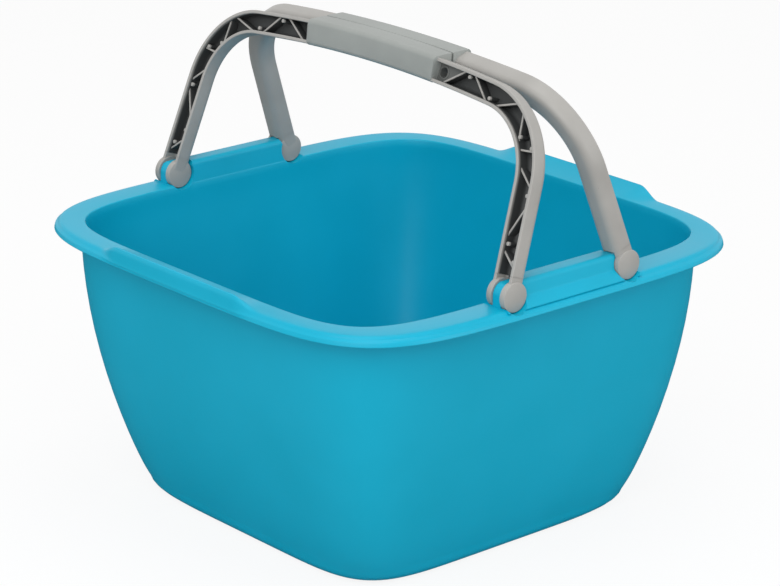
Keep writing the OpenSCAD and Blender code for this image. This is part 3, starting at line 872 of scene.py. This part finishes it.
frontHandle = shaded(handlePiece("front_handle_visual"), 30)
rearHandle = frontHandle.copy()
rearHandle.data = frontHandle.data.copy()
rearHandle.name = "rear_handle_visual"
rearHandle.data.name = "rear_handle_visual"
rearHandle.data.transform(Matrix.Rotation(math.pi, 4, "Z"))
bpy.context.scene.collection.objects.link(rearHandle)
for obj, body in ((frontHandle, "front_handle"), (rearHandle, "rear_handle")):
    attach(obj, body)
    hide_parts(body)
print("stage: handles", len(frontHandle.data.polygons), "faces each")

# floor, backdrop, lights and camera
floorSize = 6.0
floorLevels = {"matte": 0.66, "dim": 0.05, "pale": 0.9, "glow": 0.88}
worldLevels = {"around": 0.62, "white": 1.0}
floorMesh = meshObject("floor", [(x * floorSize / mm / 2, y * floorSize / mm / 2, -0.05)
                                 for x, y in ((-1, -1), (1, -1), (1, 1), (-1, 1))], [(0, 1, 2, 3)])
floorMaterial = bpy.data.materials.new("white studio sweep")
floorMaterial.use_nodes = True
tree = floorMaterial.node_tree
tree.nodes.clear()
path = addNode(tree, "ShaderNodeLightPath")
matte = addNode(tree, "ShaderNodeBsdfDiffuse", {"Color": grey(floorLevels["matte"])})
dim = addNode(tree, "ShaderNodeBsdfDiffuse", {"Color": grey(floorLevels["dim"])})
pale = addNode(tree, "ShaderNodeBsdfDiffuse", {"Color": grey(floorLevels["pale"])})
lit = addNode(tree, "ShaderNodeEmission", {"Color": grey(1.0), "Strength": 1.0})
glow = addNode(tree, "ShaderNodeMixShader", {0: floorLevels["glow"], 1: pale.outputs[0], 2: lit.outputs[0]})
under = addNode(tree, "ShaderNodeMixShader", {0: path.outputs["Is Glossy Ray"], 1: matte.outputs[0],
                                              2: dim.outputs[0]})
both = addNode(tree, "ShaderNodeMixShader", {0: path.outputs["Is Camera Ray"], 1: under.outputs[0],
                                             2: glow.outputs[0]})
addNode(tree, "ShaderNodeOutputMaterial", {"Surface": both.outputs[0]})
floorMesh.data.materials.append(floorMaterial)

world = bpy.data.worlds.new("studio")
bpy.context.scene.world = world
world.use_nodes = True
tree = world.node_tree
tree.nodes.clear()
path = addNode(tree, "ShaderNodeLightPath")
around, white = (addNode(tree, "ShaderNodeBackground", {"Color": grey(1.0), "Strength": worldLevels[key]})
                 for key in ("around", "white"))
seen = addNode(tree, "ShaderNodeMath", {
    0: path.outputs["Is Camera Ray"], 1: path.outputs["Is Glossy Ray"]}, operation="MAXIMUM")
both = addNode(tree, "ShaderNodeMixShader", {0: seen.outputs[0], 1: around.outputs[0], 2: white.outputs[0]})
addNode(tree, "ShaderNodeOutputWorld", {"Surface": both.outputs[0]})

studioLights = {
    "front": {"at": (0.9, -1.7, 1.5), "size": 2.0, "power": 28.0},
    "key": {"at": (1.9, 0.6, 0.9), "size": 1.2, "power": 9.0},
    "top": {"at": (0.0, 0.1, 2.2), "size": 1.2, "power": 9.0},
}
aim = Vector((0, 0, 0.15))
for name, spec in studioLights.items():
    lamp = bpy.data.lights.new(name, "AREA")
    lamp.shape = "SQUARE"
    lamp.size = spec["size"]
    lamp.energy = spec["power"]
    holder = bpy.data.objects.new(name, lamp)
    holder.location = spec["at"]
    holder.rotation_euler = (aim - Vector(spec["at"])).to_track_quat("-Z", "Y").to_euler()
    bpy.context.scene.collection.objects.link(holder)

# Camera solved from the rim, the base corners and the ears; focal length in pixels of the photograph
cameraFit = {"pixels": 3144.7, "width": 780, "sensor": 36.0, "azimuth": 48.873, "elevation": 19.178,
             "roll": 0.365, "distance": 2179.9, "aim": (1.59, 1.82, 147.98)}
az, el, rollTurn = (math.radians(cameraFit[k]) for k in ("azimuth", "elevation", "roll"))
back = Vector((math.sin(az) * math.cos(el), -math.cos(az) * math.cos(el), math.sin(el)))
right = Vector((math.cos(az), math.sin(az), 0))
up = back.cross(right)
rightR = right * math.cos(rollTurn) + up * math.sin(rollTurn)
upR = up * math.cos(rollTurn) - right * math.sin(rollTurn)
lens = bpy.data.cameras.new("photo view")
lens.sensor_width = cameraFit["sensor"]
lens.sensor_fit = "HORIZONTAL"
lens.lens = cameraFit["pixels"] / cameraFit["width"] * cameraFit["sensor"]
lens.clip_end = 20
camera = bpy.data.objects.new("photo view", lens)
turn = Matrix((rightR, upR, back)).transposed().to_4x4()
spot = (Vector(cameraFit["aim"]) + back * cameraFit["distance"]) * mm
camera.matrix_world = Matrix.Translation(spot) @ turn
bpy.context.scene.collection.objects.link(camera)
bpy.context.scene.camera = camera
bpy.context.scene.view_settings.view_transform = "Standard"
bpy.context.scene.view_settings.look = "None"
print("stage: studio")
